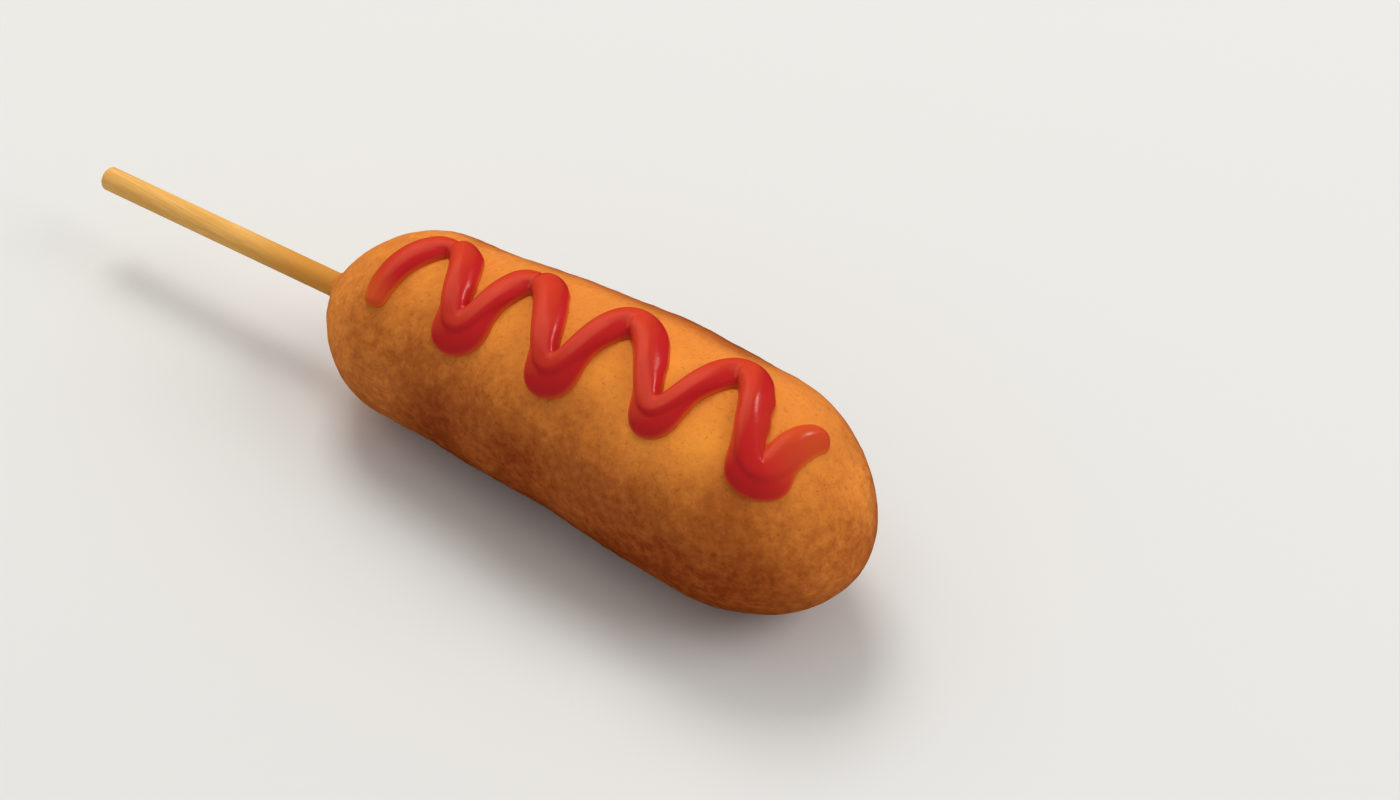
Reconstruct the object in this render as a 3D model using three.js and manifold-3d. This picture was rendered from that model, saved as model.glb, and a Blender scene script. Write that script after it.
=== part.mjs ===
// A corn dog lying on its side: a sausage-shaped body of fried cornmeal batter on a wooden stick, with one
// thick zigzag line of ketchup along its upper side.
//
// Millimetres, +Z up. The floor is z = 0, and +X runs from the stick's free end to the body's rounded tip.
// The origin is on the floor, under the middle of the whole length and width.
// On the body, "along" is the distance from the end where the stick comes out, and "angle" turns about the
// body's centre line: 0 is the top, and a positive angle turns towards the front, which is -Y.

import * as THREE from "three";
import { ConvexGeometry } from "three/addons/geometries/ConvexGeometry.js";
import { mergeVertices } from "three/addons/utils/BufferGeometryUtils.js";
import Module from "manifold-3d";

// ---- Driving dimensions ----

const BODY_LENGTH = 122;
const SHOULDER_RADIUS = 18; // the slimmer part, towards the stick
const WIDEST_RADIUS = 21.5;
const WIDENING_LENGTH = 92; // from the stick end to the widest part
const STICK_CAP_LENGTH = 20.5; // how far the stick end takes to reach its full girth
const STICK_CAP_FULLNESS = 0.76; // 0.5 is an ellipse, and 1 is nearly a cone
const TIP_CAP_LENGTH = 30;
const TIP_CAP_FULLNESS = 0.535;
const SIDE_BOW = 2.7; // the middle of the centre line stands this far behind its ends
const RESTING_FLAT_DEPTH = 0.5; // the underside is pressed flat by this much

// Low waves in the batter's surface: their height, and how often they repeat along the body and round it.
const SWELLINGS = [
  { height: 0.3, repeatsAlong: 2.6, repeatsRound: 1, phase: 0.2 },
  { height: 0.22, repeatsAlong: 4.1, repeatsRound: 2, phase: 0 },
  { height: 0.16, repeatsAlong: -1.9, repeatsRound: 3, phase: 1.6 },
];
const UNDERSIDE_ANGLE = THREE.MathUtils.degToRad(154); // past this angle there are no waves
const FULL_SWELLING_ANGLE = THREE.MathUtils.degToRad(102); // up to this angle they have their full height

const COLLAR_LENGTH = 0.6; // batter that has crept back along the stick
const COLLAR_THICKNESS = 0.9;

const STICK_RADIUS = 2.4;
const STICK_LENGTH = 140;
const STICK_EXPOSED = 60;
const STICK_CHAMFER = 0.5;
const STICK_YAW = THREE.MathUtils.degToRad(3); // its free end points a little to the front
const STICK_DROP = THREE.MathUtils.degToRad(1.5); // and a little down
const STICK_CLEARANCE = 0.3;

// The ketchup was squeezed on by hand, so its turns are uneven. It is one steep, flat-topped line, and below
// each turn on the front it has slid down the batter into a skirt. A turn or an end is [along, angle in
// degrees, half width]. The peaks are at the top of the body, and the valleys on its front.
const LINE_START = [20.9, 44.3, 1.5];
const LINE_START_PULL = [19, 28.5, 3.1];
const LINE_PEAKS = [[26.1, -9.6, 2.9], [45.9, -8, 3.2], [69.2, -6, 3.2], [92.4, -10.5, 3]];
const LINE_VALLEYS = [[39.1, 34.3, 2.5], [61.1, 33.7, 2.3], [83.7, 29.2, 2.2], [105, 27.4, 2.6]];
const LINE_END_PULL = [105.4, 5.5, 3.7];
const LINE_END = [109.7, -19.4, 1.9];
const PEAK_REACH = 5.6; // how far a turn pulls the strokes beside it level
const VALLEY_REACH = 4.1;
const LINE_HEIGHT = 2.7;
const SKIRT_DROPS = [4, 3.8, 3.2, 3.1]; // how far the ketchup has slid, at each valley
const SPREAD_BEFORE_VALLEY = 0.2; // how far the skirt reaches back up the stroke, as a share of the stroke
const SPREADS_AFTER_VALLEYS = [0.27, 0.27, 0.27, 0.36];
const SKIRT_TUCK = 0.6; // how far it starts under the line, as a share of the line's half width
const SKIRT_HEIGHT = 2.2;

// Half sections of the line and the skirt, as shares of their half width and height.
const FLAT_TOPPED = [[0, -0.4], [1, -0.4], [1, 0.5], [0.84, 0.88], [0.6, 1], [0, 1]];
const DOMED = [[0, -0.4], [1, -0.4], [1, 0], [0.87, 0.5], [0.5, 0.87], [0, 1]];

// ---- Resolution ----

const BODY_FACETS = 56;
const BODY_RINGS = 42;
const STICK_FACETS = 24;
const BEAD_STEP = 2.2; // distance between the ketchup's stations
const BEAD_FACETS = 12;

// ---- Places worked out from the dimensions ----

const BODY_START_X = (STICK_EXPOSED - BODY_LENGTH) / 2;
const WIDEST_BOW = 1 - (2 * (WIDENING_LENGTH / BODY_LENGTH) - 1) ** 2; // the bow's share at the widest part

// ---- The body's form ----

// The radius of the body without its rounded ends.
function girth(along) {
  const widening = THREE.MathUtils.smoothstep(along, 0, WIDENING_LENGTH);
  return THREE.MathUtils.lerp(SHOULDER_RADIUS, WIDEST_RADIUS, widening);
}

// A rounded end's share of the girth, at a distance from that end.
function capShare(distance, length, fullness) {
  const inset = THREE.MathUtils.clamp(1 - distance / length, 0, 1);
  return (1 - inset * inset) ** fullness;
}

// The radius of the batter round its centre line, collar included.
function batterRadius(along) {
  const stickEnd = capShare(along, STICK_CAP_LENGTH, STICK_CAP_FULLNESS);
  const tip = capShare(BODY_LENGTH - along, TIP_CAP_LENGTH, TIP_CAP_FULLNESS);
  const collar = along < STICK_CAP_LENGTH ? STICK_RADIUS + COLLAR_THICKNESS : 0;
  return Math.max(girth(along) * stickEnd * tip, collar);
}

// How far the waves lift the surface: most in the middle, and nothing at the two ends and underneath.
function swelling(along, angle) {
  const share = THREE.MathUtils.clamp(along / BODY_LENGTH, 0, 1);
  const fadeRound = THREE.MathUtils.smoothstep(-Math.abs(angle), -UNDERSIDE_ANGLE, -FULL_SWELLING_ANGLE);
  const waves = SWELLINGS.map(({ height, repeatsAlong, repeatsRound, phase }) => {
    return height * Math.sin(2 * Math.PI * repeatsAlong * share + repeatsRound * angle + phase);
  });
  return Math.sin(Math.PI * share) * fadeRound * waves.reduce((sum, wave) => sum + wave);
}

// The centre line at a distance along the body.
function centreLine(along) {
  const u = (2 * along) / BODY_LENGTH - 1;
  const y = SIDE_BOW * (1 - u * u - WIDEST_BOW);
  const z = girth(along) - RESTING_FLAT_DEPTH;
  return new THREE.Vector3(BODY_START_X + along, y, z);
}

// The point at a given radius from the centre line.
function aroundCentreLine(along, angle, radius) {
  const out = new THREE.Vector3(0, -Math.sin(angle), Math.cos(angle));
  return centreLine(along).addScaledVector(out, radius);
}

// ---- Joining and cutting ----

const MERGE_DISTANCE = 1e-4;

const wasm = await Module();
wasm.setup();

// A closed three.js geometry as a manifold-3d solid.
function toSolid(geometry) {
  const bare = new THREE.BufferGeometry();
  bare.setAttribute("position", geometry.getAttribute("position"));
  bare.setIndex(geometry.getIndex());
  const merged = mergeVertices(bare, MERGE_DISTANCE);
  const vertProperties = new Float32Array(merged.attributes.position.array);
  const triVerts = new Uint32Array(merged.index.array);
  return new wasm.Manifold(new wasm.Mesh({ numProp: 3, vertProperties, triVerts }));
}

// A manifold-3d solid as a three.js geometry.
function toGeometry(solid) {
  const mesh = solid.getMesh();
  const geometry = new THREE.BufferGeometry();
  geometry.setAttribute("position", new THREE.BufferAttribute(mesh.vertProperties, 3));
  geometry.setIndex(new THREE.BufferAttribute(mesh.triVerts, 1));
  geometry.computeVertexNormals();
  return geometry;
}

// ---- Batter ----

// A lathe profile of the straight body, then each point is moved to its place on the bowed, uneven one.
function batterSolid() {
  const profile = [new THREE.Vector2(0, -COLLAR_LENGTH), new THREE.Vector2(batterRadius(0), -COLLAR_LENGTH)];
  for (let ring = 0; ring < BODY_RINGS; ring++) {
    const along = (BODY_LENGTH * (1 - Math.cos((Math.PI * ring) / BODY_RINGS))) / 2;
    profile.push(new THREE.Vector2(batterRadius(along), along));
  }
  profile.push(new THREE.Vector2(0, BODY_LENGTH));
  const geometry = new THREE.LatheGeometry(profile, BODY_FACETS);
  const position = geometry.getAttribute("position");
  const vertex = new THREE.Vector3();
  for (let i = 0; i < position.count; i++) {
    vertex.fromBufferAttribute(position, i);
    const radius = Math.hypot(vertex.x, vertex.z);
    const angle = Math.atan2(vertex.x, vertex.z);
    const uneven = radius > 0 ? swelling(vertex.y, angle) : 0;
    const placed = aroundCentreLine(vertex.y, angle, radius + uneven);
    position.setXYZ(i, placed.x, placed.y, placed.z);
  }
  return toSolid(geometry);
}

// What lies under the floor plane.
function floorBlock() {
  const size = 2 * BODY_LENGTH;
  return toSolid(new THREE.BoxGeometry(size, size, size).translate(0, 0, -size / 2));
}

// ---- Ketchup ----

// One point of the line's way: the distance along, the arc length from the top, and the half width.
function wayPoint([along, degrees, halfWidth]) {
  return new THREE.Vector3(along, THREE.MathUtils.degToRad(degrees) * WIDEST_RADIUS, halfWidth);
}

// The line's strokes. Each runs level through the turns at its ends, and in an S between them.
function lineStrokes() {
  const turns = LINE_PEAKS.flatMap((peak, i) => [wayPoint(peak), wayPoint(LINE_VALLEYS[i])]);
  const reach = (i) => new THREE.Vector3(i % 2 === 0 ? PEAK_REACH : VALLEY_REACH, 0, 0);
  const before = (i) => turns[i].clone().sub(reach(i));
  const after = (i) => turns[i].clone().add(reach(i));
  const last = turns.length - 1;
  return [
    new THREE.CubicBezierCurve3(wayPoint(LINE_START), wayPoint(LINE_START_PULL), before(0), turns[0]),
    ...turns.slice(1).map((turn, i) => new THREE.CubicBezierCurve3(turns[i], after(i), before(i + 1), turn)),
    new THREE.CubicBezierCurve3(turns[last], after(last), wayPoint(LINE_END_PULL), wayPoint(LINE_END)),
  ];
}

// The line's stations: each has its place, the direction down the batter from it, and the strokes so far.
function lineStations() {
  const strokes = lineStrokes();
  const stations = strokes.flatMap((stroke, number) => {
    const steps = Math.round(stroke.getLength() / BEAD_STEP);
    return Array.from({ length: steps }, (_, step) => lineStation(stroke, number, step / steps));
  });
  return [...stations, lineStation(strokes.at(-1), strokes.length - 1, 1)];
}

function lineStation(stroke, number, share) {
  const tangent = stroke.getTangentAt(share);
  const below = new THREE.Vector3(-tangent.y, tangent.x, 0).normalize();
  return { place: stroke.getPointAt(share), below, strokesSoFar: number + share };
}

// How far the ketchup has slid out below the line.
function skirtDrop(strokesSoFar) {
  const drops = SKIRT_DROPS.map((drop, turn) => {
    const pastValley = strokesSoFar - 2 * (turn + 1);
    const spread = pastValley < 0 ? SPREAD_BEFORE_VALLEY : SPREADS_AFTER_VALLEYS[turn];
    return drop * Math.exp(-((pastValley / spread) ** 2));
  });
  return drops.reduce((sum, drop) => sum + drop);
}

// A drop of ketchup on the batter: the corners of a round of the given half section, at a place of the way.
function dropCorners({ x: along, y: arcLength, z: halfWidth }, halfSection, fullHeight) {
  const angle = arcLength / WIDEST_RADIUS;
  const height = Math.min(fullHeight, 1.2 * halfWidth);
  const profile = halfSection.map(([across, up]) => new THREE.Vector2(across * halfWidth, up * height));
  const centre = aroundCentreLine(along, angle, batterRadius(along) + swelling(along, angle));
  const drop = new THREE.LatheGeometry(profile, BEAD_FACETS).rotateX(Math.PI / 2 + angle);
  drop.translate(centre.x, centre.y, centre.z);
  const corners = drop.getAttribute("position");
  return Array.from({ length: corners.count }, (_, i) => new THREE.Vector3().fromBufferAttribute(corners, i));
}

// A bead is a chain of links, each the hull of two neighbouring drops.
function bead(places, halfSection, height) {
  const drops = places.map((place) => dropCorners(place, halfSection, height));
  const links = drops.slice(1).map((drop, i) => toSolid(new ConvexGeometry([...drops[i], ...drop])));
  return links.reduce((joined, link) => joined.add(link));
}

// The place of the skirt beside one station of the line: it reaches from under the line to below it.
function skirtPlace({ place, below, strokesSoFar }) {
  const inner = SKIRT_TUCK * place.z;
  const outer = place.z + skirtDrop(strokesSoFar);
  const middle = place.clone().addScaledVector(below, (outer - inner) / 2);
  return middle.setZ((outer + inner) / 2);
}

function ketchupSolid() {
  const stations = lineStations();
  const line = bead(stations.map(({ place }) => place), FLAT_TOPPED, LINE_HEIGHT);
  return line.add(bead(stations.map(skirtPlace), DOMED, SKIRT_HEIGHT));
}

// ---- Stick ----

// A round stick along +Y of its own frame, chamfered at both ends.
function stickGeometry(radius, length, chamfer) {
  const profile = [
    new THREE.Vector2(0, 0),
    new THREE.Vector2(radius - chamfer, 0),
    new THREE.Vector2(radius, chamfer),
    new THREE.Vector2(radius, length - chamfer),
    new THREE.Vector2(radius - chamfer, length),
    new THREE.Vector2(0, length),
  ];
  return new THREE.LatheGeometry(profile, STICK_FACETS);
}

// From the stick's own frame to the model's: its free end is the own frame's origin.
function stickPlacement() {
  const forward = new THREE.Vector3(
    Math.cos(STICK_YAW) * Math.cos(STICK_DROP),
    Math.sin(STICK_YAW) * Math.cos(STICK_DROP),
    Math.sin(STICK_DROP),
  );
  const freeEnd = centreLine(0).addScaledVector(forward, -STICK_EXPOSED / forward.x);
  const turn = new THREE.Quaternion().setFromUnitVectors(new THREE.Vector3(0, 1, 0), forward);
  return { freeEnd, turn };
}

// The blind socket that the stick fills, a little wider and deeper than it.
function stickSocket() {
  const { freeEnd, turn } = stickPlacement();
  const socket = stickGeometry(STICK_RADIUS + STICK_CLEARANCE, STICK_LENGTH + STICK_CLEARANCE, STICK_CHAMFER);
  socket.applyQuaternion(turn).translate(freeEnd.x, freeEnd.y, freeEnd.z);
  return toSolid(socket);
}

// ---- Scene graph ----

const cornDog = new THREE.Group();

const dressedBatter = batterSolid().add(ketchupSolid()).subtract(floorBlock()).subtract(stickSocket());
const batter = new THREE.Mesh(
  toGeometry(dressedBatter),
  new THREE.MeshStandardMaterial({ color: 0xb97430, roughness: 0.7, metalness: 0 }),
);
batter.name = "corn_dog";
cornDog.add(batter);

const stick = new THREE.Mesh(
  stickGeometry(STICK_RADIUS, STICK_LENGTH, STICK_CHAMFER),
  new THREE.MeshStandardMaterial({ color: 0xdcb27a, roughness: 0.65, metalness: 0 }),
);
stick.name = "stick";
const placement = stickPlacement();
stick.position.copy(placement.freeEnd);
stick.quaternion.copy(placement.turn);
cornDog.add(stick);

export default cornDog;
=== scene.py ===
"""Dresses the corn dog: fried cornmeal batter, a glossy ketchup line and a grained wooden stick.

Metres, in the row frame: +Z up from the surface it lies on, and +X from the stick's free end to the body's
tip. On the body, "along" is the distance from its stick end, and "angle" turns about its centre line, from 0
at the top towards the front, which is -Y. Forms are worked out in millimetres, and MM makes them metres.
"""
import math

import bpy
import numpy as np
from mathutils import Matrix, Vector, noise


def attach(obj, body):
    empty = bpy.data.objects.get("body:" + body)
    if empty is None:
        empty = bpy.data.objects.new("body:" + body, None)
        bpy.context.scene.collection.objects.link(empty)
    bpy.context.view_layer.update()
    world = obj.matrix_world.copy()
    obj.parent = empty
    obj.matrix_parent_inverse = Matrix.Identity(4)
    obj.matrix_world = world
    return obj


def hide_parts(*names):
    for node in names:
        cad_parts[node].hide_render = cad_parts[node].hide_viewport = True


MM = 0.001

# ---- The body's form, as in the CAD model ----

BODY_LENGTH = 122
SHOULDER_RADIUS = 18
WIDEST_RADIUS = 21.5
WIDENING_LENGTH = 92
STICK_CAP_LENGTH = 20.5
STICK_CAP_FULLNESS = 0.76
TIP_CAP_LENGTH = 30
TIP_CAP_FULLNESS = 0.535
SIDE_BOW = 2.7
RESTING_FLAT_DEPTH = 0.5
SWELLINGS = [(0.3, 2.6, 1, 0.2), (0.22, 4.1, 2, 0), (0.16, -1.9, 3, 1.6)]  # height, waves along, round, phase
UNDERSIDE_ANGLE = math.radians(154)
FULL_SWELLING_ANGLE = math.radians(102)

STICK_RADIUS = 2.4
STICK_EXPOSED = 60
STICK_LENGTH = 140
STICK_YAW = math.radians(3)
STICK_DROP = math.radians(1.5)
SOCKET_RADIUS = 2.7
SOCKET_DEPTH = 80.3

BODY_START_X = (STICK_EXPOSED - BODY_LENGTH) / 2
WIDEST_BOW = 1 - (2 * (WIDENING_LENGTH / BODY_LENGTH) - 1) ** 2

# ---- The ketchup's form, as in the CAD model: one flat-topped line that zigzags over the top, and has slid
# down into a skirt below each valley. Points are (along, degrees, half width) ----

LINE_START = (20.9, 44.3, 1.5)
LINE_START_PULL = (19, 28.5, 3.1)
LINE_PEAKS = [(26.1, -9.6, 2.9), (45.9, -8, 3.2), (69.2, -6, 3.2), (92.4, -10.5, 3)]
LINE_VALLEYS = [(39.1, 34.3, 2.5), (61.1, 33.7, 2.3), (83.7, 29.2, 2.2), (105, 27.4, 2.6)]
LINE_END_PULL = (105.4, 5.5, 3.7)
LINE_END = (109.7, -19.4, 1.9)
PEAK_REACH = 5.6  # how far a turn pulls the strokes beside it level
VALLEY_REACH = 4.1
LINE_HEIGHT = 2.7
SKIRT_DROPS = [4, 3.8, 3.2, 3.1]  # how far the ketchup has slid below each valley
SKIRT_SPREAD_BEFORE = 0.2  # how far a skirt reaches up the stroke before its valley, in strokes
SKIRT_SPREADS_AFTER = [0.27, 0.27, 0.27, 0.36]  # and up the stroke after it
SKIRT_HEIGHT = 2.2
SKIRT_TUCK = 0.6  # how far under the line the skirt starts, as a share of the line's half width

# ---- The ketchup's finer form ----

LAST_STROKE = 2 * len(LINE_PEAKS)  # where the last stroke starts, counted in strokes
RESTARTS = [1, 3]  # the peaks, counted in strokes, where the line was laid down again over its own end
RESTART_OVERLAP = 0.07  # in strokes
DIP_BEFORE_RESTART = 0.5
RISE_AFTER_PEAK = 0.3
SLOPE_WIDTH = 0.8  # a stroke that comes down is wider by this on its far side, and slopes away there
SLOPE_RIPPLE = 0.3
RIPPLE_LENGTH = 3.0
PEAK_FILL = 0.8  # how far ketchup has run into the inner corner of each peak
FEATHER_WIDTHS = (1.2, 0.4)  # the thin edge above the first stroke, and the one below the last
END_THINNING = 0.35  # how much lower the first and last strokes are, as a share of the line's height
SKIRT_THINNING = 0.5  # and of the skirt's
END_ROUNDING = 1.6  # how long the line's last end takes to close, in half widths
NARROWEST_END = 0.02  # the square of the share of its width that the very end keeps
SUNK_SHARE = 0.4  # of its height, that a bead sinks into the batter

# How a side of the bead falls away from its crest, as the power of a superellipse
FLAT_TOP = 4.0
ROUND = 2.0
SLOPING = 1.2
FEATHERED = 1.1

# ---- Where the camera stands ----

CAMERA_AZIMUTH = math.radians(38.98)
CAMERA_ELEVATION = math.radians(42)
CAMERA_DISTANCE = 0.6
CAMERA_TARGET = Vector((0.0433, 0.0137, 0.020))
CAMERA_LENS = 85.58
SENSOR_WIDTH = 36


# ---- The body's form, as functions of arrays of along and angle ----

def smoothstep(x, low, high):
    share = np.clip((x - low) / (high - low), 0, 1)
    return share * share * (3 - 2 * share)


def girth(along):
    return SHOULDER_RADIUS + (WIDEST_RADIUS - SHOULDER_RADIUS) * smoothstep(along, 0, WIDENING_LENGTH)


def cap_share(distance, length, fullness):
    inset = np.clip(1 - distance / length, 0, 1)
    return (1 - inset**2) ** fullness


def body_radius(along):
    stick_end = cap_share(along, STICK_CAP_LENGTH, STICK_CAP_FULLNESS)
    tip = cap_share(BODY_LENGTH - along, TIP_CAP_LENGTH, TIP_CAP_FULLNESS)
    return girth(along) * stick_end * tip


def swelling(along, angle):
    share = np.clip(along / BODY_LENGTH, 0, 1)
    fade = np.sin(math.pi * share) * smoothstep(-np.abs(angle), -UNDERSIDE_ANGLE, -FULL_SWELLING_ANGLE)
    waves = sum(h * np.sin(2 * math.pi * a * share + r * angle + p) for h, a, r, p in SWELLINGS)
    return fade * waves


def around_centre_line(along, angle, radius):
    """Points at a radius from the body's centre line, in millimetres, with the underside pressed flat."""
    u = 2 * along / BODY_LENGTH - 1
    x = BODY_START_X + along
    y = SIDE_BOW * (1 - u * u - WIDEST_BOW) - radius * np.sin(angle)
    z = girth(along) - RESTING_FLAT_DEPTH + radius * np.cos(angle)
    return np.stack(np.broadcast_arrays(x, y, z), -1)


def surface(along, angle):
    """Points of the batter's surface, in millimetres."""
    return around_centre_line(along, angle, body_radius(along) + swelling(along, angle))


def surface_normal(along, angle, step=0.05):
    turn = step / WIDEST_RADIUS
    forward = surface(along + step, angle) - surface(along - step, angle)
    sideways = surface(along, angle + turn) - surface(along, angle - turn)
    normal = np.cross(sideways, forward)
    return normal / np.linalg.norm(normal, axis=-1, keepdims=True)


# ---- Meshes ----

def mesh_object(name, points, faces, material):
    """A smooth-shaded mesh object from points in millimetres."""
    mesh = bpy.data.meshes.new(name)
    mesh.from_pydata((np.asarray(points) * MM).tolist(), [], faces)
    mesh.polygons.foreach_set("use_smooth", [True] * len(mesh.polygons))
    mesh.materials.append(material)
    mesh.update()
    piece = bpy.data.objects.new(name, mesh)
    bpy.context.scene.collection.objects.link(piece)
    return piece


def ring_faces(rings, columns):
    """Quads between successive closed rings of vertices, numbered ring by ring."""
    faces = []
    for ring in range(rings - 1):
        for column in range(columns):
            after = (column + 1) % columns
            low, high = ring * columns, (ring + 1) * columns
            faces.append((low + column, high + column, high + after, low + after))
    return faces


def capped_tube(rings):
    """Points and faces of a closed tube through an array of rings, with a pole in the middle of each end."""
    count, columns = rings.shape[:2]
    points = np.concatenate([rings.reshape(-1, 3), rings[:1].mean(1), rings[-1:].mean(1)])
    first_pole, last_pole = count * columns, count * columns + 1
    faces = ring_faces(count, columns)
    last = (count - 1) * columns
    for column in range(columns):
        after = (column + 1) % columns
        faces.append((first_pole, column, after))
        faces.append((last_pole, last + after, last + column))
    return points, faces


def noise_at(points, wavelength, seed):
    """Smooth noise from -1 to 1 at each point, in millimetres."""
    offset = Vector((seed, 2 * seed, -seed))
    values = [noise.noise(Vector(p) / wavelength + offset) for p in points.reshape(-1, 3)]
    return np.array(values).reshape(points.shape[:-1])


# ---- Batter ----

BATTER_RINGS = 330
BATTER_COLUMNS = 280
EVEN_SPACING = 0.65  # the share of the rings' spacing that is even; the rest crowds them towards both ends
WHOLE_TURN = 0.9985  # how nearly that crowding runs to the very tip
FIRST_RING_RADIUS = STICK_RADIUS + 0.8
RELIEF = [(9.0, 0.16), (3.6, 0.10), (1.7, 0.05), (0.8, 0.03)]  # lumps to grain: wavelength and height

# The stick's hole, which closes on the stick at its mouth, and the lip round it, as (depth, radius)
HOLE_PROFILE = [(SOCKET_DEPTH, SOCKET_RADIUS), (40, SOCKET_RADIUS), (3, SOCKET_RADIUS),
                (1.2, STICK_RADIUS + 0.1), (0, STICK_RADIUS + 0.04), (-0.3, STICK_RADIUS + 0.12),
                (-0.42, STICK_RADIUS + 0.4), (-0.2, STICK_RADIUS + 0.62)]


def batter_relief(points):
    """How far the fried surface stands out or in, in millimetres."""
    layers = enumerate(RELIEF, start=1)
    return sum(height * noise_at(points, wavelength, seed) for seed, (wavelength, height) in layers)


def batter_skin(angle):
    """Rings of the fried surface, from the lip round the stick to the tip."""
    share = np.linspace(0, 1, BATTER_RINGS)
    crowded = BODY_LENGTH * (1 - np.cos(math.pi * share * WHOLE_TURN)) / 2
    along = (1 - EVEN_SPACING) * crowded + EVEN_SPACING * BODY_LENGTH * share
    first = np.searchsorted(body_radius(along), FIRST_RING_RADIUS)
    along = along[first:-1, None]
    skin = surface(along, angle)
    skin = skin + surface_normal(along, angle) * batter_relief(skin)[..., None]
    skin[..., 2] = np.maximum(skin[..., 2], 0)
    return skin


def stick_axis_point(x):
    """The point of the stick's centre line at a place along X, in millimetres."""
    start = around_centre_line(np.float64(0), np.float64(0), np.float64(0))
    run = x - start[0]
    return np.array([x, start[1] + run * math.tan(STICK_YAW), start[2] + run * math.tan(STICK_DROP)])


def make_batter(material):
    """One closed skin, in through the stick's hole and out again over its lip to the tip."""
    angle = np.linspace(0, 2 * math.pi, BATTER_COLUMNS, endpoint=False)
    angle = np.where(angle > math.pi, angle - 2 * math.pi, angle)
    out = np.stack([np.zeros_like(angle), -np.sin(angle), np.cos(angle)], -1)
    hole = [stick_axis_point(BODY_START_X + depth) + out * radius for depth, radius in HOLE_PROFILE]
    points, faces = capped_tube(np.concatenate([np.array(hole), batter_skin(angle)]))
    return mesh_object("batter", points, faces, material)


# ---- Ketchup ----

STATION_STEP = 0.25
BEZIER_STEPS = 40
SECTION_SIDES = 36
RIPPLE_SEED = 7
KETCHUP_VOXEL = 0.22 * MM
SMOOTHING = 0.5
SMOOTHING_STEPS = 3


def on_surface(point):
    """A (along, degrees, half width) point with its angle as millimetres round the body."""
    along, degrees, half_width = point
    return np.array([along, math.radians(degrees) * WIDEST_RADIUS, half_width])


def stroke(start, end, start_pull, end_pull):
    """A cubic curve between two points, each given with the point that it first heads for."""
    t = np.linspace(0, 1, BEZIER_STEPS, endpoint=False)[:, None]
    return ((1 - t) ** 3 * start + 3 * (1 - t) ** 2 * t * start_pull
            + 3 * (1 - t) * t**2 * end_pull + t**3 * end)


def evenly_spaced(parts, end):
    """Stations at equal steps along joined strokes, with the count of strokes so far, and their distances."""
    way = np.concatenate(parts + [end[None]])
    way = np.column_stack([way, np.arange(len(way)) / BEZIER_STEPS])
    distance = np.concatenate([[0], np.cumsum(np.linalg.norm(np.diff(way[:, :2], axis=0), axis=1))])
    wanted = np.linspace(0, distance[-1], int(distance[-1] / STATION_STEP) + 1)
    return np.stack([np.interp(wanted, distance, column) for column in way.T], 1), wanted


def ketchup_way():
    """The line's stations: along, millimetres round, half width and the count of strokes so far."""
    turns = [on_surface(point) for pair in zip(LINE_PEAKS, LINE_VALLEYS) for point in pair]
    level = np.array([1, 0, 0])
    pulls = [PEAK_REACH * level, VALLEY_REACH * level] * len(LINE_PEAKS)
    parts = [stroke(on_surface(LINE_START), turns[0], on_surface(LINE_START_PULL), turns[0] - pulls[0])]
    for turn in range(len(turns) - 1):
        start, end = turns[turn], turns[turn + 1]
        parts.append(stroke(start, end, start + pulls[turn], end - pulls[turn + 1]))
    end = on_surface(LINE_END)
    parts.append(stroke(turns[-1], end, turns[-1] + pulls[-1], on_surface(LINE_END_PULL)))
    return evenly_spaced(parts, end)


def skirt_width(strokes):
    """How far the ketchup has slid out below the line."""
    width = 0
    for turn, (drop, spread_after) in enumerate(zip(SKIRT_DROPS, SKIRT_SPREADS_AFTER)):
        past_valley = strokes - 2 * (turn + 1)
        spread = np.where(past_valley < 0, SKIRT_SPREAD_BEFORE, spread_after)
        width = width + drop * np.exp(-((past_valley / spread) ** 2))
    return width


def swell(x, start, full, fading, gone):
    """0 up to start, 1 from full to fading, and 0 again from gone."""
    return smoothstep(x, start, full) * smoothstep(-x, -gone, -fading)


def coming_down(strokes):
    """1 from just after each peak to halfway down, fading to 0 before the peak and at the valley."""
    past_peak = strokes % 2 - 1
    return swell(past_peak, -0.3, 0.2, 0.5, 0.95) * (strokes < LAST_STROKE)


def going_up(strokes):
    """1 just before each peak, fading to 0 down the stroke and at the peak itself."""
    past_peak = strokes % 2 - 1
    return swell(past_peak, -0.7, -0.2, -0.1, 0.05)


def first_and_last(strokes):
    """1 towards the line's two ends, where it lies thin and rounded, fading to 0 along either stroke."""
    return smoothstep(-strokes, -0.9, -0.1), smoothstep(strokes, LAST_STROKE, LAST_STROKE + 0.6)


def rounding(distance, half_width):
    """Each station's share of its width: the line closes to a round at its two ends."""
    from_start, to_end = distance, distance[-1] - distance
    shares = []
    for run, radius in ((from_start, half_width[0]), (to_end, END_ROUNDING * half_width[-1])):
        inset = np.clip(1 - run / radius, 0, 1)
        shares.append(np.sqrt(np.maximum(1 - inset**2, NARROWEST_END)))
    return shares[0] * shares[1]


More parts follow.
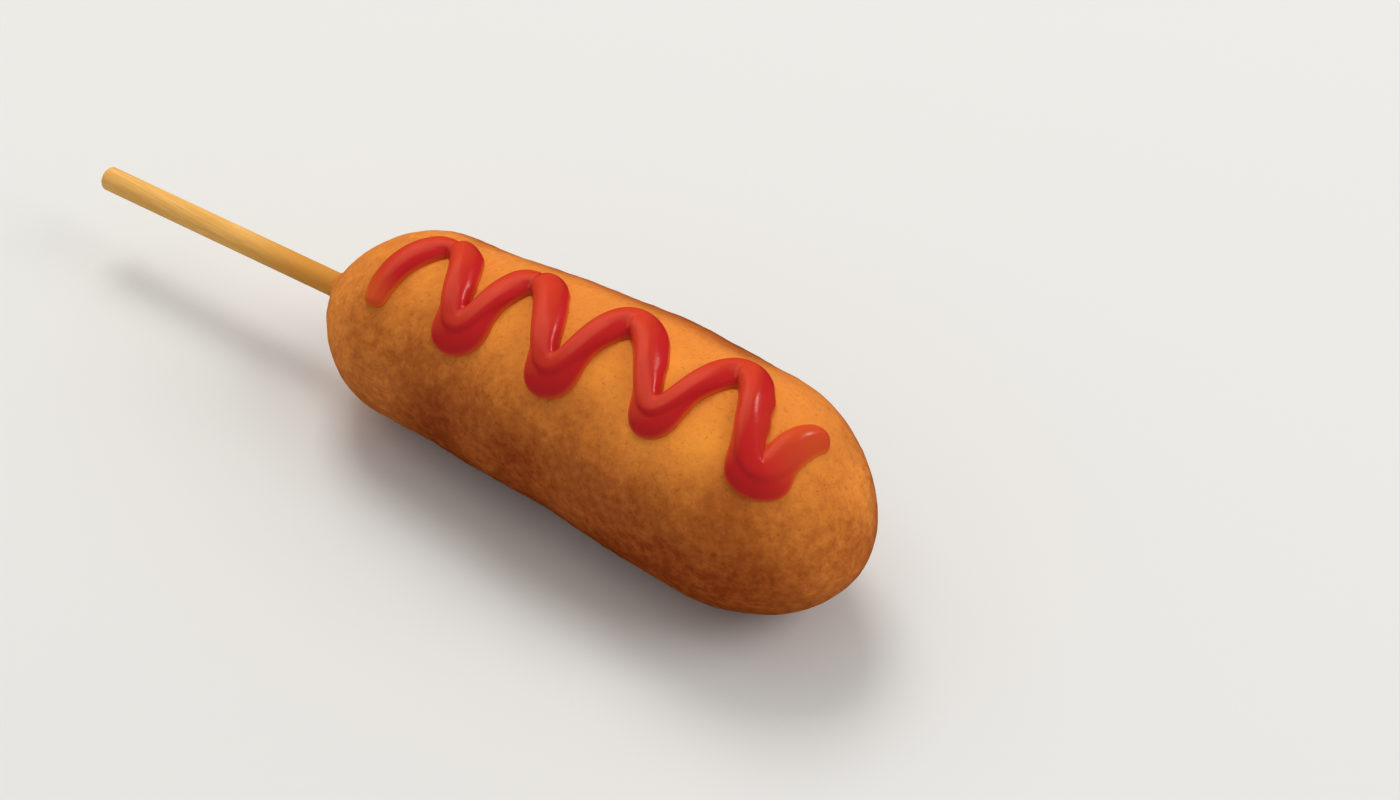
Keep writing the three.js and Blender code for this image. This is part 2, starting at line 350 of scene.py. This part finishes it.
def bead(stations, widths, height, powers):
    """Rings of a bead on the batter, its underside sunk into it. Widths and powers are each a pair, for the
    sides above and below the line."""
    tangent = np.gradient(stations[:, :2], axis=0)
    tangent /= np.linalg.norm(tangent, axis=1, keepdims=True)
    below = np.stack([-tangent[:, 1], tangent[:, 0]], 1)
    turn = np.linspace(0, 2 * math.pi, SECTION_SIDES, endpoint=False)
    across = np.cos(turn)
    upper_side = across < 0
    width = np.where(upper_side, widths[0][:, None], widths[1][:, None])
    power = np.where(upper_side, powers[0][:, None], powers[1][:, None])
    up = np.where(turn <= math.pi, np.sqrt(1 - np.abs(across) ** power), 0)
    down = np.where(turn > math.pi, -np.abs(np.sin(turn)), 0)
    offset = across * width
    place = stations[:, None, :2] + below[:, None] * offset[..., None]
    along, angle = place[..., 0], place[..., 1] / WIDEST_RADIUS
    lift = height[:, None] * (up + SUNK_SHARE * down)
    return surface(along, angle) + surface_normal(along, angle) * lift[..., None]


def line_lengths(stations, distance):
    """The line's overlapping lengths, which begin anew at each restart: their stations and distances."""
    cuts = [0, *RESTARTS, stations[-1, 3]]
    for start, end in zip(cuts, cuts[1:]):
        chosen = (stations[:, 3] >= start - RESTART_OVERLAP) & (stations[:, 3] <= end + RESTART_OVERLAP)
        yield stations[chosen], distance[chosen] - distance[chosen][0]


def line_bead(stations, distance):
    """One length of the line."""
    half_width, strokes = stations[:, 2], stations[:, 3]
    ends = rounding(distance, half_width)
    first, last = first_and_last(strokes)
    falling, rising = coming_down(strokes), going_up(strokes)
    filled = rising * (strokes < LAST_STROKE)
    ripples = SLOPE_RIPPLE * noise_at(stations[:, :3] * [1, 1, 0], RIPPLE_LENGTH, RIPPLE_SEED)
    above = half_width + FEATHER_WIDTHS[0] * first + (SLOPE_WIDTH + ripples) * falling
    below = half_width + FEATHER_WIDTHS[1] * last + PEAK_FILL * filled
    power = FLAT_TOP - (FLAT_TOP - ROUND) * (first + last)
    power_above = power + (SLOPING - power) * falling + (FEATHERED - power) * first
    power_below = power + (FEATHERED - power) * last + (SLOPING - power) * filled
    dip = DIP_BEFORE_RESTART * rising * (strokes < RESTARTS[-1])
    height = (LINE_HEIGHT - dip + RISE_AFTER_PEAK * falling) * (1 - END_THINNING * (first + last)) * ends
    return bead(stations, (above * ends, below * ends), height, (power_above, power_below))


def skirt_bead(stations, distance):
    """What has slid out from under the line."""
    half_width, strokes = stations[:, 2], stations[:, 3]
    ends = rounding(distance, half_width)
    widths = (SKIRT_TUCK * half_width * ends, half_width * ends + skirt_width(strokes))
    thinning = 1 - SKIRT_THINNING * sum(first_and_last(strokes))
    height = np.minimum(SKIRT_HEIGHT, half_width * ends) * thinning
    power = np.full(len(stations), ROUND)
    return bead(stations, widths, height, (power, power))


def make_ketchup(material):
    stations, distance = ketchup_way()
    beads = [line_bead(*length) for length in line_lengths(stations, distance)]
    beads.append(skirt_bead(stations, distance))
    points, faces = [], []
    for rings in beads:
        bead_points, bead_faces = capped_tube(rings)
        offset = sum(len(p) for p in points)
        points.append(bead_points)
        faces += [tuple(index + offset for index in face) for face in bead_faces]
    piece = mesh_object("ketchup", np.concatenate(points), faces, material)
    fuse_and_smooth(piece)
    record_thickness(piece.data)
    return piece


def record_thickness(mesh):
    """Stores each vertex's height above the batter, in millimetres, for the material."""
    points = np.empty(3 * len(mesh.vertices))
    mesh.vertices.foreach_get("co", points)
    x, y, z = points.reshape(-1, 3).T / MM
    along = x - BODY_START_X
    _, centre_y, centre_z = around_centre_line(along, 0 * along, 0 * along).T
    angle = np.arctan2(centre_y - y, z - centre_z)
    height = np.hypot(centre_y - y, z - centre_z) - body_radius(along) - swelling(along, angle)
    mesh.attributes.new("thickness", "FLOAT", "POINT").data.foreach_set("value", height)


def fuse_and_smooth(piece):
    """Melts the overlapping turns of a mesh into one closed, smooth skin."""
    remesh = piece.modifiers.new("fuse", "REMESH")
    remesh.mode = "VOXEL"
    remesh.voxel_size = KETCHUP_VOXEL
    remesh.use_smooth_shade = True
    smooth = piece.modifiers.new("smooth", "SMOOTH")
    smooth.factor = SMOOTHING
    smooth.iterations = SMOOTHING_STEPS
    apply_modifiers(piece)


def apply_modifiers(piece):
    evaluated = piece.evaluated_get(bpy.context.evaluated_depsgraph_get())
    mesh = bpy.data.meshes.new_from_object(evaluated)
    old = piece.data
    piece.modifiers.clear()
    piece.data = mesh
    bpy.data.meshes.remove(old)


# ---- Stick ----

STICK_COLUMNS = 72
STICK_RINGS = 160
STICK_EDGE = 0.5  # the radius of the broken edge at each end
EDGE_STEPS = 6


def dowel_radius(length):
    """The stick's radius at each distance from its free end."""
    to_end = np.minimum(length, STICK_LENGTH - length)
    rise = np.maximum(STICK_EDGE - to_end, 0)
    return STICK_RADIUS - STICK_EDGE + np.sqrt(np.maximum(STICK_EDGE**2 - rise**2, 0))


def make_stick(material):
    """A round dowel with softly broken edges at both ends."""
    forward = Vector((math.cos(STICK_YAW) * math.cos(STICK_DROP),
                      math.sin(STICK_YAW) * math.cos(STICK_DROP), math.sin(STICK_DROP)))
    side = Vector((0, 0, 1)).cross(forward).normalized()
    up = forward.cross(side)
    edge = STICK_EDGE * (1 - np.cos(np.linspace(0, math.pi / 2, EDGE_STEPS)))
    middle = np.linspace(STICK_EDGE, STICK_LENGTH - STICK_EDGE, STICK_RINGS)[1:-1]
    length = np.concatenate([edge, middle, STICK_LENGTH - edge[::-1]])
    turn = np.linspace(0, 2 * math.pi, STICK_COLUMNS, endpoint=False)
    out = np.cos(turn)[:, None] * np.array(side) + np.sin(turn)[:, None] * np.array(up)
    axis = stick_axis_point(BODY_START_X - STICK_EXPOSED) + length[:, None] * np.array(forward)
    rings = axis[:, None] + dowel_radius(length)[:, None, None] * out
    points, faces = capped_tube(rings)
    return mesh_object("stick_wood", points, faces, material)


# ---- Materials ----

class Nodes:
    """Short calls for building a material's node tree."""

    def __init__(self, name):
        self.material = bpy.data.materials.new(name)
        self.material.use_nodes = True
        self.tree = self.material.node_tree
        self.shader = self.tree.nodes["Principled BSDF"]

    def add(self, kind, **settings):
        node = self.tree.nodes.new("ShaderNode" + kind)
        for key, value in settings.items():
            setattr(node, key, value)
        return node

    def link(self, output, socket):
        self.tree.links.new(output, socket)

    def position(self, scale):
        """The object's own coordinates in metres, scaled."""
        coordinates = self.add("TexCoord")
        mapping = self.add("Mapping")
        mapping.inputs["Scale"].default_value = scale
        self.link(coordinates.outputs["Object"], mapping.inputs["Vector"])
        return mapping.outputs["Vector"]

    def noise(self, vector, scale, detail, roughness=0.5):
        node = self.add("TexNoise")
        node.inputs["Scale"].default_value = scale
        node.inputs["Detail"].default_value = detail
        node.inputs["Roughness"].default_value = roughness
        self.link(vector, node.inputs["Vector"])
        return node.outputs["Fac"]

    def axes(self, vector):
        """The X, Y and Z parts of a vector."""
        node = self.add("SeparateXYZ")
        self.link(vector, node.inputs[0])
        return node.outputs["X"], node.outputs["Y"], node.outputs["Z"]

    def fade(self, value, start, end, low=0.0, high=1.0):
        """Low at start and high at end, smoothly between them and level outside."""
        node = self.add("MapRange", interpolation_type="SMOOTHSTEP")
        for index, bound in ((1, start), (2, end), (3, low), (4, high)):
            node.inputs[index].default_value = bound
        self.link(value, node.inputs[0])
        return node.outputs[0]

    def patches(self, vector, value, places):
        """A value with each place's amount added there, fading out to its radius."""
        for along, degrees, radius, amount in places:
            distance = self.add("VectorMath", operation="DISTANCE")
            distance.inputs[1].default_value = surface(np.float64(along), math.radians(degrees)) * MM
            self.link(vector, distance.inputs[0])
            patch = self.fade(distance.outputs["Value"], 0, radius * MM, amount, 0)
            value = self.math("ADD", value, patch)
        return value

    def math(self, operation, first, second):
        node = self.add("Math", operation=operation)
        for index, value in ((0, first), (1, second)):
            if isinstance(value, (int, float)):
                node.inputs[index].default_value = value
            else:
                self.link(value, node.inputs[index])
        return node.outputs[0]

    def spread(self, noise_value, amount, middle=0.0):
        """Noise turned into a swing of the given amount about a middle."""
        node = self.add("MapRange", clamp=False)
        for index, bound in ((1, 0.0), (2, 1.0), (3, middle - amount / 2), (4, middle + amount / 2)):
            node.inputs[index].default_value = bound
        self.link(noise_value, node.inputs[0])
        return node.outputs[0]

    def ramp(self, value, stops):
        node = self.add("ValToRGB")
        elements = node.color_ramp.elements
        while len(elements) < len(stops):
            elements.new(0.5)
        for element, (place, colour) in zip(elements, stops):
            element.position = place
            element.color = (*colour, 1)
        self.link(value, node.inputs["Fac"])
        return node.outputs["Color"]

    def mix(self, factor, first, second, blend="MIX"):
        node = self.add("Mix", data_type="RGBA", blend_type=blend)
        for value, index in ((factor, 0), (first, 6), (second, 7)):
            socket = node.inputs[index]
            if isinstance(value, (int, float)):
                socket.default_value = value
            elif isinstance(value, tuple):
                socket.default_value = (*value, 1)
            else:
                self.link(value, socket)
        return node.outputs[2]

    def bump(self, height, distance, strength, normal=None):
        node = self.add("Bump")
        node.inputs["Distance"].default_value = distance
        node.inputs["Strength"].default_value = strength
        self.link(height, node.inputs["Height"])
        if normal is not None:
            self.link(normal, node.inputs["Normal"])
        return node.outputs["Normal"]


# Colours of the batter, from the least fried to the most; the same ramp also carries painted light towards
# bright gold and painted shade towards deep brown
BRIGHT_GOLD = (0.86, 0.30, 0.040)
GOLDEN = (0.73, 0.234, 0.036)
BROWNED = (0.47, 0.124, 0.019)
DEEP_BROWN = (0.26, 0.040, 0.003)
BRIGHTENING = 0.2  # the share of the ramp that lies beyond plain golden
SPECK = (0.78, 0.72, 0.66)
CLEAR = (1, 1, 1)

# How browned the batter is by place, partly as fried and partly as painted shade: (start, end, amount at the
# start, amount at the end), in metres
# Down the sides: partly browned by frying and partly painted shade towards the underside
DOWN_THE_SIDES_BROWNED_AND_SHADED = (0.0397, 0.019, 0, 0.9)  # over Z
# Less browned towards both ends: partly their own colour and partly painted light at the ends
TOWARDS_THE_STICK = (-0.026, 0.012, 0.1, 1)  # over X
TOWARDS_THE_TIP = (0.089, 0.062, 0.7, 1)  # over X
# Along the back: painted shade, ending short of the tip and weaker low down
PAINTED_SHADE_BEHIND = (0.0065, 0.0175, 0, 0.95)  # over Y
PAINTED_SHADE_BEHIND_SHORT_OF_THE_TIP = (0.048, 0.076, 1, 0)  # over X
PAINTED_SHADE_BEHIND_LESS_WHEN_LOW = (0.022, 0.034, 0.4, 1)  # over Z
UNEVEN_BELOW_THE_TOP = (0.042, 0.028, 0.22, 1)  # over Z

# Single patches of the batter, partly browned spots and partly painted light, such as the lighter patches
# between the ketchup strokes and at the tip: (along, degrees, radius, amount: more browned above 0, lighter
# below it)
BROWNED_AND_PAINTED_LIGHT_PATCHES = [(70, 47, 9, 0.25), (104, 48, 10, 0.35), (113, 100, 14, 0.1), (34, 50, 9, 0.2),
                  (48, 68, 9, 0.1), (62, 65, 9, -0.2), (85, 50, 9, -0.15), (95, 30, 9, -0.25),
                  (46, 26, 7, -0.2), (70, 27, 7, -0.15), (28, 14, 8, -0.2), (78, 8, 8, -0.2),
                  (30, 78, 14, -0.15), (95, 75, 8, -0.1), (52, 100, 14, -0.25), (72, 100, 12, -0.15),
                  (117, -50, 11, -0.3), (117, 15, 9, 0.12)]

# The ketchup's red in painted light and shade: a shaded, a lit and a brightest lit copy; and the orange of
# thin ketchup
KETCHUP_RED_PAINTED_SHADE = (0.50, 0.014, 0.0145)
KETCHUP_RED_PAINTED_LIT = (0.50, 0.028, 0.014)
KETCHUP_RED_PAINTED_BRIGHT_LIT = (0.62, 0.046, 0.018)
KETCHUP_THIN = (0.66, 0.11, 0.016)
KETCHUP_THIN_PLACES = [(110, -8, 15, 0.5), (19, 45, 9, 0.8)]  # along, degrees, radius, share
THIN_BELOW = 1.2  # the thickness, in millimetres, under which it turns towards orange
# The direction the ketchup's painted light comes from
KETCHUP_PAINTED_LIGHT_DIRECTION = Vector((-0.75, 0.2, 0.63)).normalized()  # up and towards the stick, in the world

WOOD_PALE = (0.90, 0.52, 0.15)
WOOD_FIBRE = (0.72, 0.37, 0.09)
WOOD_STREAK = (0.68, 0.33, 0.06)
WOOD_SOAKED = (0.56, 0.20, 0.010)
SOAKED_FROM, FULLY_SOAKED = -0.060, -0.036  # X, in metres


def browned_and_painted_light_by_place(n, place):
    """0 for golden to 1 for deep brown, partly as fried and partly as painted light and shade: more down the
    sides, painted shade along the back, less at the two ends, and the listed patches on top.
    """
    x, y, z = n.axes(place)
    ends = n.math("MULTIPLY", n.fade(x, *TOWARDS_THE_STICK), n.fade(x, *TOWARDS_THE_TIP))
    sides = n.math("MULTIPLY", n.fade(z, *DOWN_THE_SIDES_BROWNED_AND_SHADED), ends)
    painted_shade_behind = n.math("MULTIPLY", n.fade(y, *PAINTED_SHADE_BEHIND), n.fade(x, *PAINTED_SHADE_BEHIND_SHORT_OF_THE_TIP))
    painted_shade_behind = n.math("MULTIPLY", painted_shade_behind, n.fade(z, *PAINTED_SHADE_BEHIND_LESS_WHEN_LOW))
    return n.patches(place, n.math("MAXIMUM", sides, painted_shade_behind), BROWNED_AND_PAINTED_LIGHT_PATCHES)


def uneven_browning(n, place):
    """Patches of about 17 mm, mottling of 2 mm and spots of 1 mm, faint on the top."""
    patches = n.spread(n.noise(place, 60, 3, 0.55), 1.0)
    mottle = n.spread(n.noise(place, 480, 3, 0.6), 0.72)
    spots = n.spread(n.noise(place, 1000, 2, 0.6), 0.5)
    unevenness = n.math("ADD", patches, n.math("ADD", mottle, spots))
    strength = n.fade(n.axes(place)[2], *UNEVEN_BELOW_THE_TOP)
    return n.math("MULTIPLY", unevenness, strength)


def batter_material():
    """Fried batter, from bright gold to deep brown, partly as fried and partly as painted light and shade,
    with dark specks and a fine rough grain.
    """
    n = Nodes("fried_batter")
    place = n.position((1, 1, 1))
    browned_and_painted_light = n.math("ADD", browned_and_painted_light_by_place(n, place), uneven_browning(n, place))
    shift = n.math("ADD", n.math("MULTIPLY", browned_and_painted_light, 1 - BRIGHTENING), BRIGHTENING)
    stops = [(0, BRIGHT_GOLD), (BRIGHTENING, GOLDEN), (0.45 + 0.55 * BRIGHTENING, BROWNED), (1, DEEP_BROWN)]
    colour = n.ramp(shift, stops)
    specks = n.ramp(n.noise(place, 1300, 2, 0.7), [(0.28, SPECK), (0.42, CLEAR)])
    n.link(n.mix(1.0, colour, specks, "MULTIPLY"), n.shader.inputs["Base Color"])
    n.shader.inputs["Roughness"].default_value = 0.55
    n.shader.inputs["Specular IOR Level"].default_value = 0.05
    coarse = n.bump(n.noise(place, 420, 3, 0.6), 0.0003, 0.5)
    n.link(n.bump(n.noise(place, 1400, 3, 0.6), 0.0002, 0.5, coarse), n.shader.inputs["Normal"])
    return n.material


def ketchup_material():
    """Glossy red with painted light and shade: lighter the more its surface faces up and towards the stick
    end, darker where it faces away, and orange where it is thinnest.
    """
    n = Nodes("ketchup_gloss")
    place = n.position((1, 1, 1))
    # Painted light and shade: how far the surface faces the painted light's direction, moved a little by
    # noise, picks the shaded, lit or brightest lit red
    painted_light_facing = n.add("VectorMath", operation="DOT_PRODUCT")
    n.link(n.add("NewGeometry").outputs["Normal"], painted_light_facing.inputs[0])
    painted_light_facing.inputs[1].default_value = KETCHUP_PAINTED_LIGHT_DIRECTION
    swing = n.spread(n.noise(place, 260, 2), 0.16)
    lit = n.math("ADD", painted_light_facing.outputs["Value"], swing)
    body = n.ramp(lit, [(0.31, KETCHUP_RED_PAINTED_SHADE), (0.41, KETCHUP_RED_PAINTED_LIT), (0.66, KETCHUP_RED_PAINTED_BRIGHT_LIT)])
    thickness = n.add("Attribute", attribute_name="thickness")
    edges = n.fade(thickness.outputs["Fac"], THIN_BELOW, 0, 0, 0.9)
    thin = n.patches(place, edges, KETCHUP_THIN_PLACES)
    n.link(n.mix(thin, body, KETCHUP_THIN), n.shader.inputs["Base Color"])
    n.shader.inputs["Roughness"].default_value = 0.22
    n.shader.inputs["Specular IOR Level"].default_value = 0.25
    n.shader.inputs["Subsurface Weight"].default_value = 0.12
    n.shader.inputs["Subsurface Radius"].default_value = (1.0, 0.1, 0.05)
    n.shader.inputs["Subsurface Scale"].default_value = 0.001
    n.link(n.bump(n.noise(place, 700, 3), 0.0001, 0.35), n.shader.inputs["Normal"])
    return n.material


def wood_material():
    """Pale birch with fibres along its length, darker where fat has soaked in by the batter."""
    n = Nodes("stick_grain")
    place = n.position((0.05, 1, 1))
    x, _, _ = n.axes(n.position((1, 1, 1)))
    fibres = n.noise(place, 2600, 3, 0.6)
    streaks = n.noise(place, 700, 2, 0.5)
    pale = n.ramp(fibres, [(0.3, WOOD_FIBRE), (0.7, WOOD_PALE)])
    wood = n.mix(n.spread(streaks, 1.2, 0.3), pale, WOOD_STREAK)
    soaked = n.math("MULTIPLY", n.fade(x, SOAKED_FROM, FULLY_SOAKED), 0.7)
    n.link(n.mix(soaked, wood, WOOD_SOAKED), n.shader.inputs["Base Color"])
    n.shader.inputs["Roughness"].default_value = 0.55
    n.shader.inputs["Specular IOR Level"].default_value = 0.15
    n.link(n.bump(fibres, 0.0001, 0.4), n.shader.inputs["Normal"])
    return n.material


def floor_material():
    n = Nodes("studio_floor")
    n.shader.inputs["Base Color"].default_value = (0.70, 0.70, 0.68, 1)
    n.shader.inputs["Roughness"].default_value = 0.9
    n.shader.inputs["Specular IOR Level"].default_value = 0.1
    return n.material


# ---- Studio ----

FLOOR_SIZE = 8  # in metres
ROOM_STRENGTH = 0.51
WARM = (1, 0.88, 0.76)


def add_floor():
    half = FLOOR_SIZE / 2 / MM
    corners = [(-half, -half, 0), (half, -half, 0), (half, half, 0), (-half, half, 0)]
    floor = mesh_object("floor", corners, [(0, 1, 2, 3)], floor_material())
    floor.visible_glossy = False


def add_softbox(name, place, target, size, power):
    light = bpy.data.lights.new(name, "AREA")
    light.shape = "RECTANGLE"
    light.size, light.size_y = size
    light.energy = power
    lamp = bpy.data.objects.new(name, light)
    bpy.context.scene.collection.objects.link(lamp)
    lamp.location = place
    lamp.rotation_euler = (Vector(target) - Vector(place)).to_track_quat("-Z", "Y").to_euler()
    return lamp


def add_lights():
    world = bpy.data.worlds.new("room")
    world.use_nodes = True
    world.node_tree.nodes["Background"].inputs["Color"].default_value = (1, 1, 1, 1)
    world.node_tree.nodes["Background"].inputs["Strength"].default_value = ROOM_STRENGTH
    bpy.context.scene.world = world
    world.cycles_visibility.glossy = False
    key = add_softbox("key_softbox", (-1.1, 1.0, 2.2), (0.02, 0, 0), (1.2, 1.2), 30.5)
    key.visible_glossy = False
    fill = add_softbox("fill_softbox", (1.5, 0.7, 1.3), (0.02, 0, 0), (1.2, 1.2), 16)
    fill.visible_glossy = False
    sheen = add_softbox("sheen_card", (-0.55, 0.16, 0.95), (0.02, 0, 0.03), (1.0, 1.0), 2.4)
    sheen.data.color = WARM
    glint = add_softbox("glint_card", (0.28, 0.82, 0.84), (0.05, 0, 0.04), (0.25, 0.12), 2)
    glint.data.color = WARM
    glint.visible_diffuse = False
    bpy.context.scene.view_settings.view_transform = "Standard"


def add_camera():
    back = Vector((math.sin(CAMERA_AZIMUTH) * math.cos(CAMERA_ELEVATION),
                   -math.cos(CAMERA_AZIMUTH) * math.cos(CAMERA_ELEVATION), math.sin(CAMERA_ELEVATION)))
    data = bpy.data.cameras.new("camera")
    data.lens = CAMERA_LENS
    data.sensor_width = SENSOR_WIDTH
    data.clip_start = 0.01
    camera = bpy.data.objects.new("camera", data)
    bpy.context.scene.collection.objects.link(camera)
    camera.location = CAMERA_TARGET + back * CAMERA_DISTANCE
    camera.rotation_euler = (-back).to_track_quat("-Z", "Y").to_euler()
    bpy.context.scene.camera = camera


# ---- The scene ----

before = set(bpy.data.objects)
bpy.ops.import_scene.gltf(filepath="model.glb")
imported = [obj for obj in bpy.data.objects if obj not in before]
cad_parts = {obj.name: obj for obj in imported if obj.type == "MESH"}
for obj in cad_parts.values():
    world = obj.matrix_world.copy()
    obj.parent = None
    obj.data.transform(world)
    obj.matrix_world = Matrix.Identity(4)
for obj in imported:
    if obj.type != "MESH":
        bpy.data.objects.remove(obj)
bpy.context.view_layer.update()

batter = make_batter(batter_material())
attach(batter, "root")
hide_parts("corn_dog")

ketchup = make_ketchup(ketchup_material())
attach(ketchup, "root")
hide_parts("corn_dog")

stick = make_stick(wood_material())
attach(stick, "root")
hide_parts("stick")

add_floor()
add_lights()
add_camera()
